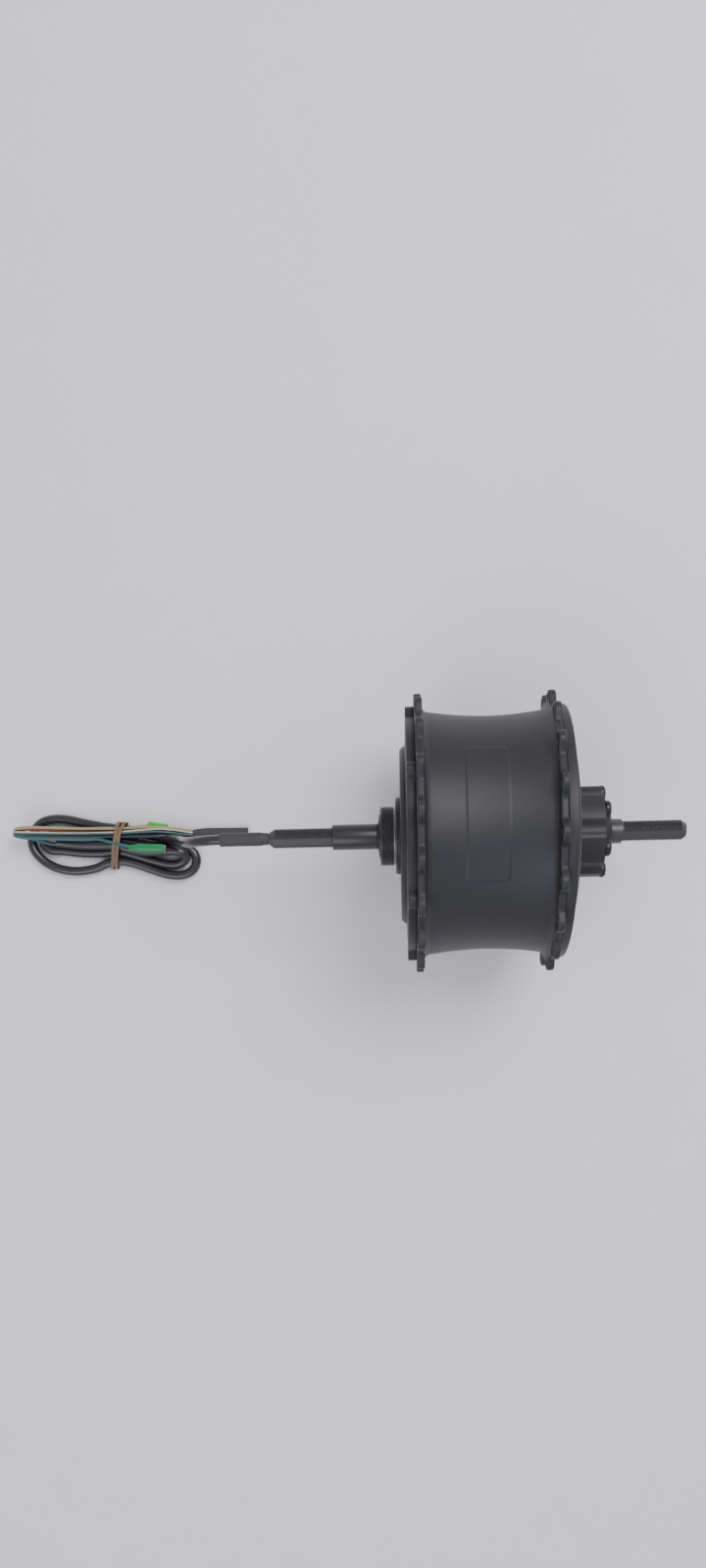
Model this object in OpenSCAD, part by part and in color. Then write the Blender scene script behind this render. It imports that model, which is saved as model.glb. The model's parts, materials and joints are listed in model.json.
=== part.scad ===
// Geared rear hub motor for a wide-tyred electric bicycle.
// The axle lies along Y and its middle is the origin. Drive (freewheel) side is -Y, brake side is +Y.
// Everything turned is drawn along +Z as (radius, position) outlines and laid down onto Y.

/* [Hub shell] */
// Radius of the spoke flanges at the tips of the lobes
flange_r = 81.5; // [80:0.5:83]
// Radius of the spoke flanges between the lobes
flange_valley_r = 74.6; // [74.5:0.1:75.5]
// Radius of the round tip of a lobe
lobe_r = 6.2; // [5.5:0.1:6.5]
// Number of lobes, and of spoke holes, on each flange
lobes = 18; // [18]
// Radius of the circle of spoke holes
spoke_circle_r = 77; // [76.5:0.1:77.5]
// Diameter of a spoke hole
spoke_hole_d = 3; // [2.6:0.1:3.2]
// Thickness of a spoke flange
flange_t = 4.4; // [4:0.1:4.6]
// Wall of the drum
drum_wall = 4; // [3.5:0.1:4.2]

/* [Axle] */
// Distance between the two dropout faces
dropout_width = 170; // [170]
// Length of the axle from end to end
axle_length = 245; // [235:1:255]
// Thread diameter of the axle ends
axle_thread_d = 12; // [12]
// Distance across the two flats of the axle ends
across_flats = 10; // [9.8:0.1:10.2]
// Bore that carries the motor cable
cable_bore_d = 7; // [6.8:0.1:7.2]

/* [Interfaces] */
// Outer diameter of the freewheel thread
freewheel_d = 34.9; // [34.9]
// Circle diameter of the six brake rotor bolts
rotor_pcd = 44; // [44]
// Diameter of a brake rotor bolt
rotor_bolt_d = 5; // [5]
// Diameter of a brake rotor bolt's head
rotor_head_d = 9.6; // [9:0.1:10]

/* [Gears and motor] */
// Teeth on the sun gear
sun_teeth = 15; // [15]
// Teeth on each planet gear
planet_teeth = 30; // [30]
// Gear module
gear_module = 1.5; // [1.5]
// Play taken off each tooth flank
tooth_play = 0.12; // [0.1:0.01:0.15]
// Number of stator teeth
stator_teeth = 18; // [18]
// Number of magnets
magnet_count = 20; // [20]

/* [Cable] */
// Diameter of the motor cable
cable_d = 6.2; // [6:0.1:6.4]
// Height of the cable's centre where it lies on the table
cable_low = -78.4; // [-78.4]

/* [Hidden] */
$fn = 96;

// Axial stations, from the drive side to the brake side
axle_end = axle_length / 2;
dropout = dropout_width / 2;
left_flange_y = -36.1;                      // outer face of the drive side flange
right_flange_y = 40;                        // inner face of the brake side flange
shell_end_y = right_flange_y + flange_t;
waist_y = 5.5;
sleeve_end_y = -57.8;
drive_bearing_y = -46.5;
bearing_w = 10;
brake_bearing_y = 57;
rotor_face_y = 72.5;
drive_rim_y = -41.2;                        // outer faces of the two covers' rims
brake_rim_y = 50;
stator_y = [-24, 2];
rotor_bearing_y = 4.5;
gear_y = [14.2, 26.4];
carrier_y = 28;

// Radii
bearing_r = 17.5;
drum_inner_r = 67.65 - drum_wall;
cover_screw_r = 69.5;
cover_head_r = 3.2;
bolt_turn = -5;                             // turn of the rotor bolts off the X axis, towards +Z
drive_seat_r = 8.5;
brake_seat_r = 7.5;
stator_seat_r = 10;
shoulder_r = 12.5;
stator_r = 46;
magnet_r = [46.8, 49.75];
can_r = 53.8;
countersink_r = 2.7;

// Gear train: sun inside, three planets on the carrier, ring outside
ring_teeth = sun_teeth + 2 * planet_teeth;
centre_r = gear_module * (sun_teeth + planet_teeth) / 2;
planet_angles = [90, 210, 330];
pitch_step_planet = 360 / planet_teeth;
// Turn of a planet that puts a gap opposite the sun's tooth, and of the ring so that its gaps take
// the planets' teeth
planet_phase = (planet_angles[0] * sun_teeth / 360 + (planet_angles[0] + 180) * planet_teeth / 360
                - 0.5) * pitch_step_planet;
ring_phase = planet_angles[0] - (planet_angles[0] - planet_phase) * planet_teeth / ring_teeth;

steel = "dimgray";
black = [0.13, 0.13, 0.15];
alloy = [0.72, 0.73, 0.75];
copper = [0.72, 0.42, 0.2];
nylon = [0.9, 0.88, 0.8];

// ---------------------------------------------------------------- helpers

// Lay a shape drawn along Z onto the Y axis: its Z becomes Y, its X stays X
module lay() { multmatrix([[1, 0, 0, 0], [0, 0, 1, 0], [0, -1, 0, 0], [0, 0, 0, 1]]) children(); }

// Round body on the axle from an outline of [radius, y] points
module turned(outline) { lay() rotate_extrude() polygon(outline); }

// Ring from radius a to radius b, from station y0 to station y1
module ring(a, b, y0, y1) { turned([[a, y0], [b, y0], [b, y1], [a, y1]]); }

// Solid disc or rod on the axle
module rod(r, y0, y1) { lay() translate([0, 0, y0]) cylinder(r = r, h = y1 - y0); }

// Copies of the children round the axle, the first at angle start from +X towards -Z in the XZ plane
module around(count, r, y, start = 0) {
    lay() for (i = [0:count - 1])
        rotate([0, 0, start + i * 360 / count]) translate([r, 0, y]) children();
}

// Closed band of 2D points swept along z
module plate(y0, y1) { lay() translate([0, 0, y0]) linear_extrude(y1 - y0) children(); }

// Involute point at roll angle t (degrees) on base radius rb
function involute(rb, t) = [rb * (cos(t) + t * PI / 180 * sin(t)), rb * (sin(t) - t * PI / 180 * cos(t))];
function roll_at(rb, r) = sqrt(max(0, pow(r / rb, 2) - 1)) * 180 / PI;
function inv_angle(rb, r) = let (t = roll_at(rb, r), p = involute(rb, t)) atan2(p[1], p[0]);
// Half of the tooth's angle at radius r, for a tooth of half angle h at the pitch radius rp
function half_tooth(rp, rb, h, r) = h + inv_angle(rb, rp) - inv_angle(rb, max(r, rb));

// Outline of a spur gear with the given tip and root radii, play > 0 thins the teeth
function gear_points(teeth, tip_r, root_r, play) =
    let (rp = gear_module * teeth / 2, rb = rp * cos(20),
         h = 90 / teeth - play / rp * 180 / PI,
         radii = [root_r, max(rb, root_r) + 0.01, (rp + max(rb, root_r)) / 2, rp, (rp + tip_r) / 2, tip_r])
    [for (i = [0:teeth - 1], side = [-1, 1], k = [0:len(radii) - 1])
        let (j = side < 0 ? k : len(radii) - 1 - k, r = radii[j],
             a = i * 360 / teeth + side * half_tooth(rp, rb, h, r))
        [r * cos(a), r * sin(a)]];

module bearing_balls(count, r, ball_r, y) {
    around(count, r, y) sphere(r = ball_r, $fn = 24);
}

// ---------------------------------------------------------------- axle and what is fixed to it

module flats_cut(y0, y1) {
    // The flats face 30 degrees off straight up
    rotate([0, 30, 0]) for (s = [-1, 1])
        translate([-10, y0, s > 0 ? across_flats / 2 : -across_flats / 2 - 10])
            cube([20, y1 - y0, 10]);
}

module axle() color(steel) difference() {
    r = axle_thread_d / 2;
    turned([
        [0, -axle_end], [r - 2.1, -axle_end], [r, -axle_end + 2.6], [r, sleeve_end_y - 0.2],
        [drive_seat_r, sleeve_end_y - 0.2], [drive_seat_r, -35], [stator_seat_r, -35],
        [stator_seat_r, stator_y[1]], [shoulder_r, stator_y[1]], [shoulder_r, rotor_bearing_y - 0.5],
        [brake_seat_r, rotor_bearing_y - 0.5], [brake_seat_r, rotor_face_y],
        [brake_seat_r - 0.3, rotor_face_y], [brake_seat_r - 0.3, dropout], [r, dropout],
        [r, axle_end - 2.2], [r - 1.8, axle_end], [0, axle_end]
    ]);
    flats_cut(-axle_end - 1, -dropout + 20);
    flats_cut(dropout, axle_end + 1);
    rod(cable_bore_d / 2, -axle_end - 1, -26.4);
    // Mouth of the cable bore, towards +Z between the bearing and the stator
    translate([0, -30, 0]) cylinder(r = cable_bore_d / 2, h = 20);
    // Keyway of the stator
    translate([-2, -22, -stator_seat_r - 1]) cube([4, 22, 3]);
    // Grooves of the circlips
    ring(brake_seat_r - 0.6, 9, 54.6, 55.8);
    ring(stator_seat_r - 0.7, 11, -26.2, -25);
}

module stator_key() color(steel)
    translate([-1.9, -21.9, -stator_seat_r - 2.4]) cube([3.8, 21.8, 4.2]);

module spacer_sleeve() color(steel)
    ring(axle_thread_d / 2 + 0.1, 7.45, -dropout, sleeve_end_y - 0.3);

module drive_bearing_inner() color(alloy)
    ring(drive_seat_r, 11.4, drive_bearing_y, drive_bearing_y + bearing_w);
module brake_bearing_inner() color(alloy)
    ring(brake_seat_r, 10.9, brake_bearing_y, brake_bearing_y + bearing_w);
module rotor_bearing_inner() color(alloy)
    ring(brake_seat_r, 9.3, rotor_bearing_y, rotor_bearing_y + 7);

module stator_spider() color(alloy) difference() {
    union() {
        ring(stator_seat_r, 16, -23.9, 1.8);
        ring(15, 24, -16, -6);
        ring(21.5, 24.9, -23, 1);
    }
    around(6, 18.7, -17, 30) cylinder(r = 2.4, h = 12);
    translate([-2, -24, -stator_seat_r - 2.5]) cube([4, 26, 4]);
    around(3, 23.2, -23.1, 90) cylinder(r = 0.9, h = 6);
}

module stator_core() color([0.45, 0.46, 0.48]) plate(stator_y[0], stator_y[1]) difference() {
    circle(r = stator_r);
    circle(r = 25);
    for (i = [0:stator_teeth - 1]) rotate(i * 360 / stator_teeth + 180 / stator_teeth) {
        polygon([[31.5, -2.4], [31.5, 2.4], [43.4, 4.5], [43.4, -4.5]]);
        translate([43, -1.1]) square([4, 2.2]);
    }
}

module stator_coils() color(copper) around(stator_teeth, 0, 0) difference() {
    translate([32.4, -5.2, stator_y[0] - 4.6]) cube([9.8, 10.4, stator_y[1] - stator_y[0] + 9.2]);
    translate([31, -3.3, stator_y[0] - 2.2]) cube([13, 6.6, stator_y[1] - stator_y[0] + 4.4]);
    // Sloping sides that keep neighbouring coils apart
    for (s = [-1, 1]) rotate([0, 0, s * 10]) translate([30, s > 0 ? -0.35 : -5.65, -40])
        cube([14, 6, 60]);
}

module coil_end_frames() color("ivory") {
    plate(stator_y[0] - 2, stator_y[0] - 0.1) end_frame_outline();
    plate(stator_y[1] + 0.1, stator_y[1] + 2) end_frame_outline();
}

module end_frame_outline() {
    difference() { circle(r = 31.2); circle(r = 25.2); }
    for (i = [0:stator_teeth - 1]) rotate(i * 360 / stator_teeth)
        translate([30.6, -3.1]) square([14, 6.2]);
}

module hall_board() color("darkgreen") difference() {
    ring(13.5, 30, -30.6, -29);
    around(3, 23.2, -32, 90) cylinder(r = 1.2, h = 5);
}

module hall_sensors() color(black) around(3, 28, -29, 70)
    translate([-1.6, -2, 0]) cube([1.5, 4, 3]);

module board_screws() color(alloy) around(3, 23.2, -32, 90) union() {
    cylinder(r = 2, h = 1.3);
    cylinder(r = 0.85, h = 9 + 5);
}

module inner_cable() color(black) union() {
    rod(cable_d / 2, -axle_end, -30);
    translate([0, -30, 0]) sphere(r = cable_d / 2);
    translate([0, -30, 0]) cylinder(r = cable_d / 2, h = 12.8);
}

module phase_leads() color("goldenrod") for (k = [-1, 0, 1]) translate([k * 2, 0, 0]) union() {
    translate([0, -31.7, 12.85]) cylinder(r = 0.9, h = 23.65);
    translate([0, -31.7, 36.5]) sphere(r = 0.9);
    translate([0, -31.7, 36.5]) rotate([-90, 0, 0]) cylinder(r = 0.9, h = 3);
}

module clutch_inner_race() color(steel) ring(brake_seat_r, 12, carrier_y + 0.5, 42);

module axle_circlips() color(steel) {
    difference() {
        ring(brake_seat_r - 0.5, 9.2, 54.7, 55.7);
        translate([-1.5, 50, 0]) cube([3, 10, 12]);
    }
    difference() {
        ring(stator_seat_r - 0.6, 12, -26.1, -25.1);
        translate([-1.5, -30, 0]) cube([3, 10, 14]);
    }
}

// ---------------------------------------------------------------- hub shell and covers

// Scalloped flange: a disc with round lobes, one per spoke hole
module flange_outline(start) {
    difference() {
        union() {
            circle(r = flange_valley_r);
            for (i = [0:lobes - 1]) rotate(start + i * 360 / lobes)
                translate([flange_r - lobe_r, 0]) circle(r = lobe_r, $fn = 48);
        }
        for (i = [0:lobes - 1]) rotate(start + i * 360 / lobes)
            translate([spoke_circle_r, 0]) circle(r = spoke_hole_d / 2, $fn = 24);
        circle(r = drum_inner_r);
        for (i = [0:5]) rotate(i * 60) translate([cover_screw_r, 0]) circle(r = 2, $fn = 24);
    }
}

// Countersinks of the spoke holes, on the face towards the drum
module countersinks(y0, y1, start) {
    r0 = y0 < 0 ? spoke_hole_d / 2 : countersink_r;
    around(lobes, spoke_circle_r, min(y0, y1), start)
        cylinder(r1 = r0, r2 = spoke_hole_d / 2 + countersink_r - r0, h = abs(y1 - y0), $fn = 32);
}

module left_spoke_flange() color(black) difference() {
    plate(left_flange_y, left_flange_y + flange_t) flange_outline(0);
    countersinks(left_flange_y + flange_t - 1.2, left_flange_y + flange_t, 0);
}

module right_spoke_flange() color(black) difference() {
    plate(right_flange_y, shell_end_y) flange_outline(180 / lobes);
    countersinks(right_flange_y, right_flange_y + 1.2, 180 / lobes);
}

// Drum between the flanges, slightly waisted. The three are one casting
module hub_shell() color(black) turned(concat(
    [[drum_inner_r, left_flange_y + flange_t], [72.5, left_flange_y + flange_t],
     [72, left_flange_y + flange_t + 1.2], [70.4, left_flange_y + flange_t + 3]],
    [for (i = [0:12]) let (y = -24 + i * 4.5) [67.7 + 0.0026 * pow(y - waist_y, 2), y]],
    [[70.2, right_flange_y - 2.6], [71.8, right_flange_y - 1], [72.5, right_flange_y],
     [drum_inner_r, right_flange_y]]));

// Rim of a cover, from the outline in children. Its six screws sit flush in counterbores that start
// at station y
module cover_rim(y0, y1, y) difference() {
    plate(y0, y1) difference() {
        children();
        circle(r = 60);
        for (i = [0:5]) rotate(i * 60) translate([cover_screw_r, 0]) circle(r = 2.2, $fn = 24);
    }
    around(6, cover_screw_r, y) cylinder(r = cover_head_r + 0.1, h = 2.6);
}

module drive_side_cover() color(black) union() {
    cover_rim(drive_rim_y, left_flange_y - 0.05, drive_rim_y - 0.1) {
        circle(r = 68);
        for (i = [0:5]) rotate(i * 60) translate([cover_screw_r - 0.2, 0]) circle(r = 5, $fn = 48);
    }
    turned([
        [bearing_r, -46.4], [22.5, -46.4], [22.5, -44.7], [49.6, -44.7], [51.5, -42.8], [51.5, -41.9],
        [61, drive_rim_y], [61, left_flange_y - 0.05], [63.5, left_flange_y - 0.05], [63.5, -33], [60, -33],
        [60, -37], [24, -39], [22.5, -36.5], [bearing_r, -36.5]
    ]);
}

// Steel boss pressed into the cover: freewheel thread, relief and shoulder disc
module freewheel_boss() color(steel) turned([
    [13, -56.6], [freewheel_d / 2 - 0.6, -56.6], [freewheel_d / 2, -56], [freewheel_d / 2, -48.5],
    [16.6, -48.3], [16.6, -47.6], [22.4, -47.6], [22.4, -46.45], [15.5, -46.55], [15.5, -52.5], [13, -52.5]
]);

// Outline of the brake boss: six lobes with shallow valleys between them
module brake_boss_outline() {
    difference() {
        circle(r = 26.4);
        for (i = [0:5]) rotate(i * 60 + 30 + bolt_turn) translate([31.2, 0]) circle(r = 7, $fn = 48);
    }
}

module brake_side_cover() color(black) difference() {
    union() {
        cover_rim(shell_end_y + 0.05, brake_rim_y, brake_rim_y - 2.5) circle(r = 73.4);
        turned([
            [bearing_r, 52], [24, 52], [36, 51.8], [46, 50.6], [51.5, 48.6], [53, 46], [60, 44.2],
            [60, 41], [63.5, 41], [63.5, shell_end_y + 0.05], [65.5, shell_end_y + 0.05],
            [65.5, brake_rim_y], [60, 50.3], [57.6, 51.2], [56.8, 52.6], [55.2, 53.6], [50, 54.5],
            [44, 55.3], [36, 56.1], [25, 56.6], [25, 66.9], [bearing_r, 66.9]
        ]);
        difference() {
            plate(55.5, rotor_face_y) brake_boss_outline();
            rod(13.2, 55, rotor_face_y + 1);
            rod(bearing_r, 55, 67.05);
        }
        // Raised cap over the seal
        turned([
            [13.2, rotor_face_y - 0.5], [14.8, rotor_face_y - 0.5], [14.8, 74], [13.8, 76.6], [11.4, 78],
            [8.2, 78], [8.2, 76], [13.2, 74.5]
        ]);
    }
    rotate([0, bolt_turn, 0]) around(6, rotor_pcd / 2, 60.5) cylinder(r = rotor_bolt_d / 2, h = 13, $fn = 32);
}

module ring_gear() color(nylon) difference() {
    rod(61.8, gear_y[0], gear_y[1] + 12);
    plate(gear_y[0] - 1, gear_y[1] + 0.01) rotate(ring_phase)
        polygon(gear_points(ring_teeth, gear_module * ring_teeth / 2 + 1.8,
                            gear_module * ring_teeth / 2 - 1.4, -tooth_play));
    rod(59, gear_y[1], gear_y[1] + 13);
}

// Flat-headed socket screw, its head's face at zero
module cover_screw() difference() {
    union() {
        cylinder(r = cover_head_r, h = 2.4);
        translate([0, 0, 2.3]) cylinder(r = 1.9, h = 6.8);
    }
    translate([0, 0, -0.1]) cylinder(r = 1.7, h = 1.7, $fn = 6);
}

module drive_cover_screws() color(steel) around(6, cover_screw_r, drive_rim_y) cover_screw();
module brake_cover_screws() color(steel)
    around(6, cover_screw_r, brake_rim_y) rotate([180, 0, 0]) cover_screw();

module rotor_bolts() color(steel) rotate([0, bolt_turn, 0]) around(6, rotor_pcd / 2, 0) difference() {
    union() {
        translate([0, 0, rotor_face_y + 0.02]) cylinder(r = rotor_head_d / 2, h = 2.1);
        translate([0, 0, rotor_face_y + 2.1]) cylinder(r1 = rotor_head_d / 2, r2 = 3.6, h = 1.1);
        translate([0, 0, 61]) cylinder(r = rotor_bolt_d / 2 - 0.1, h = 12);
    }
    translate([0, 0, rotor_face_y + 1.4]) cylinder(r = 2.1, h = 3, $fn = 6);
}

module drive_bearing_outer() color(alloy)
    ring(14.8, bearing_r, drive_bearing_y + 0.2, drive_bearing_y + bearing_w);
module brake_bearing_outer() color(alloy)
    ring(14.6, bearing_r, brake_bearing_y, brake_bearing_y + bearing_w - 0.1);
module rotor_bearing_outer() color(alloy)
    ring(12.2, 14, rotor_bearing_y, rotor_bearing_y + 7);

module drive_bearing_balls() color("silver") bearing_balls(9, 13.1, 1.65, drive_bearing_y + bearing_w / 2);
module brake_bearing_balls() color("silver") bearing_balls(9, 12.75, 1.8, brake_bearing_y + bearing_w / 2);
module rotor_bearing_balls() color("silver") bearing_balls(10, 10.75, 1.4, rotor_bearing_y + 3.5);

module drive_side_seal() color("black") turned([
    [drive_seat_r + 0.15, -57.6], [12.8, -57.2], [12.8, -53], [drive_seat_r + 0.15, -53]
]);
module brake_side_seal() color("black") turned([
    [brake_seat_r + 0.15, 68], [13.1, 68], [13.1, 72.2], [brake_seat_r + 0.15, 72.2]
]);

// ---------------------------------------------------------------- rotor

module rotor_can() color(alloy) difference() {
    turned([
        [14, rotor_bearing_y], [18, rotor_bearing_y], [18, 8.4], [can_r - 4, 8.4], [can_r - 4, -26],
        [can_r, -26], [can_r, 11.5], [14, 11.5]
    ]);
    around(6, 36, 7) cylinder(r = 7, h = 6);
    around(3, 16, 4) cylinder(r = 1.3, h = 9, $fn = 24);
}

module rotor_magnets() color([0.35, 0.36, 0.4]) lay() for (i = [0:magnet_count - 1])
    rotate([0, 0, i * 360 / magnet_count]) translate([0, 0, -25]) linear_extrude(28) difference() {
        intersection() {
            circle(r = magnet_r[1]);
            polygon([[0, 0], [60, -60 * tan(8)], [60, 60 * tan(8)]]);
        }
        circle(r = magnet_r[0]);
    }

module sun_gear() color(steel) difference() {
    union() {
        rod(18, 11.6, 13.4);
        plate(13.3, gear_y[1] + 0.4) polygon(gear_points(sun_teeth, gear_module * sun_teeth / 2 + 1.4,
                                             gear_module * sun_teeth / 2 - 1.75, tooth_play));
    }
    rod(brake_seat_r + 0.5, 10, 30);
    around(3, 16, 11) cylinder(r = 1.4, h = 3, $fn = 24);
}

module sun_gear_screws() color(steel) around(3, 16, 0) union() {
    translate([0, 0, 6]) cylinder(r = 1.25, h = 7.4, $fn = 24);
    translate([0, 0, 13.4]) cylinder(r = 1.9, h = 0.6, $fn = 24);
}

// ---------------------------------------------------------------- planets and carrier

module planet_gear(a) lay() rotate([0, 0, a]) translate([centre_r, 0, 0]) rotate([0, 0, planet_phase - a])
    difference() {
        translate([0, 0, gear_y[0]]) linear_extrude(gear_y[1] - gear_y[0])
            polygon(gear_points(planet_teeth, gear_module * planet_teeth / 2 + 1.4,
                                gear_module * planet_teeth / 2 - 1.75, tooth_play));
        translate([0, 0, gear_y[0] - 1]) cylinder(r = 7, h = 20);
        for (i = [0:5]) rotate([0, 0, 60 * i]) translate([13.4, 0, gear_y[0] - 1]) cylinder(r = 3, h = 20);
    }

module planet_bush(a) lay() rotate([0, 0, a]) translate([centre_r, 0, 0]) difference() {
    translate([0, 0, gear_y[0]]) cylinder(r = 6.99, h = gear_y[1] - gear_y[0]);
    translate([0, 0, gear_y[0] - 1]) cylinder(r = 4.05, h = 20);
}

module planet_gear_1() color(nylon) planet_gear(planet_angles[0]);
module planet_gear_2() color(nylon) planet_gear(planet_angles[1]);
module planet_gear_3() color(nylon) planet_gear(planet_angles[2]);
module planet_bush_1() color(copper) planet_bush(planet_angles[0]);
module planet_bush_2() color(copper) planet_bush(planet_angles[1]);
module planet_bush_3() color(copper) planet_bush(planet_angles[2]);

module planet_carrier() color(alloy) difference() {
    plate(carrier_y, carrier_y + 5) difference() {
        circle(r = 44);
        circle(r = 21);
        for (a = planet_angles) rotate(a + 60) translate([48, 0]) circle(r = 17);
    }
    around(3, centre_r, carrier_y - 1, planet_angles[0]) cylinder(r = 4, h = 8);
}

module planet_pins() color(steel) around(3, centre_r, 0, planet_angles[0]) union() {
    translate([0, 0, gear_y[0] - 0.4]) cylinder(r = 3.98, h = carrier_y + 5.4 - gear_y[0]);
    translate([0, 0, gear_y[0] - 1.5]) cylinder(r = 5.4, h = 1.2);
}

// The outer race carries a pocket with a ramp for each roller
module clutch_outer_race() color(steel) difference() {
    ring(16.4, 20.9, carrier_y, 42);
    around(8, 15.4, carrier_y + 1) cylinder(r = 2.3, h = 11.5);
}

module clutch_rollers() color("silver") around(8, 14.35, carrier_y + 1.5) cylinder(r = 2.2, h = 10.5);

module clutch_springs() color(alloy) around(8, 14.1, carrier_y + 6, 17)
    translate([-0.9, -1.2, 0]) cube([1.4, 3, 3]);

// ---------------------------------------------------------------- cable, laid on the table

// Middle line of the motor cable, from the axle's end to the end of its jacket.
// It runs straight out, bends down, lies in two folded turns and ends on top of them.
cable_route = [
    [0, -axle_end, 0], [0, -133, 0], [0, -144, 0], [0, -154, 0], [0.5, -164, -3], [1, -172, -9.5],
    [1, -177, -19], [0.5, -181, -32], [0, -185, -46], [0, -189, -59], [-1, -195, -69.5],
    [-2.5, -203, -76], [-5, -213, cable_low], [-7.5, -222, -77.9], [-9, -232, -77.2],
    [-10.5, -242, -77.9], [-13, -254, cable_low], [-15.5, -265, cable_low], [-16, -274, cable_low],
    [-14, -282, cable_low], [-8, -288, cable_low], [0, -289.5, cable_low], [7, -286.5, cable_low],
    [13, -280, cable_low], [17, -271, cable_low], [18.5, -260, cable_low], [17, -248, cable_low],
    [14, -240, -77.9], [12.5, -231, -77.2], [14.5, -221, -77.9], [18.5, -210, cable_low],
    [22, -199, cable_low], [22.5, -190, cable_low], [19.5, -183, cable_low], [13.5, -180, cable_low],
    [7.5, -182, cable_low], [4.5, -188, cable_low], [4, -199, cable_low], [3, -211, cable_low],
    [0.5, -222, -77.9], [-2, -232, -77.2], [-3, -243, -77.9], [-4, -256, cable_low],
    [-5.5, -268, cable_low], [-5, -276, cable_low], [-0.5, -281.5, cable_low], [4, -277, cable_low],
    [5, -268, cable_low], [6.5, -256, cable_low], [6.8, -243, -77.9], [6, -232, -77.2],
    [8.5, -222, -77.9], [12, -211, cable_low], [14.8, -201, cable_low], [15.2, -193, -78],
    [12.5, -187.5, -76.5], [8.5, -187.5, -74], [6.5, -193, -72.4], [6.5, -203, -72.6],
    [6.5, -213, -73.2], [4.5, -223, -73], [2, -232, -72.3], [1.8, -243, -73.2], [1.5, -254, -74],
    [0.5, -264, -74.5], [-0.5, -272, -74]
];

// Middle line of the bundle of thin wires, out of the jacket, back over itself and to the sleeve
wire_route = [
    [-0.6, -272.6, -74], [-2, -280, -72], [-3.5, -288, -71.5], [-4.5, -295, -71.8], [-5.5, -299.5, -71],
    [-6, -301.5, -68.8], [-6, -300, -66.4], [-6, -295, -65.8], [-6, -285, -66.5], [-6, -270, -68.5],
    [-6, -255, -70.5], [-6, -243, -71], [-6, -232, -71], [-6.4, -222, -71.6], [-7, -211, -72.2],
    [-7.2, -203, -72.6], [-6.8, -197.5, -73.8], [-6, -190, -76.6], [-4.6, -181.5, -79]
];
wire_d = 4.4;
sleeve_box = [[-7.9, -180.5], [-0.9, -145]];

function unit(v) = v / norm(v);
function tangent(p, i) = unit(p[min(i + 1, len(p) - 1)] - p[max(i - 1, 0)]);
// Side direction at each point: level wherever the route isn't upright
function side_dir(t) = unit(cross(t, abs(t[2]) > 0.999 ? [1, 0, 0] : [0, 0, 1]));
// Points between the route's own, on a smooth curve through them (cardinal spline)
function smooth(p, i, u) =
    let (a = p[max(i - 1, 0)], b = p[i], c = p[i + 1], d = p[min(i + 2, len(p) - 1)])
    b * (1 + u * u * (2 * u - 3)) + c * u * u * (3 - 2 * u)
    + (c - a) / 2 * u * pow(u - 1, 2) + (d - b) / 2 * u * u * (u - 1);

module tube(points, d, sides) {
    n = len(points);
    ring_points = [for (i = [0:n - 1]) let (t = tangent(points, i), s = side_dir(t), u = cross(s, t))
        for (k = [0:sides - 1]) let (a = 360 * k / sides)
            points[i] + d / 2 * (s * cos(a) + u * sin(a))];
    walls = [for (i = [0:n - 2], k = [0:sides - 1]) let (m = (k + 1) % sides)
        [i * sides + k, i * sides + m, (i + 1) * sides + m, (i + 1) * sides + k]];
    polyhedron(ring_points, concat([[for (k = [sides - 1:-1:0]) k]], walls,
        [[for (k = [0:sides - 1]) (n - 1) * sides + k]]));
}

module motor_cable() color(black) tube(cable_route, cable_d, 8);

module cable_sleeve() color(black) turned([
    [cable_d / 2 + 0.1, -axle_end - 30], [4.1, -axle_end - 30], [4.1, -axle_end - 4],
    [3.6, -axle_end - 0.5], [cable_d / 2 + 0.1, -axle_end - 0.5]
]);

module wire_bundle() color("goldenrod") tube(wire_route, wire_d, 8);

module terminal_sleeve() color(black)
    translate([sleeve_box[0][0], sleeve_box[0][1], -81.4])
        cube([sleeve_box[1][0] - sleeve_box[0][0], sleeve_box[1][1] - sleeve_box[0][1], 4.4]);

module phase_tube(x, y, z, length, turn) translate([x, y, z]) rotate([0, 0, turn])
    rotate([90, 0, 0]) translate([0, 0, -length / 2]) cylinder(r = 2.9, h = length, $fn = 48);

module phase_tube_upper() color("yellowgreen") phase_tube(-10.2, -205, -78.5, 14, -7);
module phase_tube_lower() color("seagreen") phase_tube(3.8, -213, -67.2, 23, 0);
module phase_terminal() color("silver") translate([1.5, -201.4, -67.6]) cube([4.6, 5, 0.8]);

// Two turns of a flat rubber band round the folded cable
module rubber_band() color([0.5, 0.4, 0.3]) for (y = [-228.2, -231.2])
    translate([0, y, 0]) rotate([0, 0, -14]) rotate([90, 0, 0]) linear_extrude(2.4) difference() {
        band_outline(0.7);
        band_outline(0.1);
    }

module band_outline(grow) offset(r = grow)
    polygon([[-12.9, -80.7], [-12.9, -74.5], [-9, -68.2], [5, -68.2], [17.5, -75], [17.5, -80.7]]);

// ---------------------------------------------------------------- nodes

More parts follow.
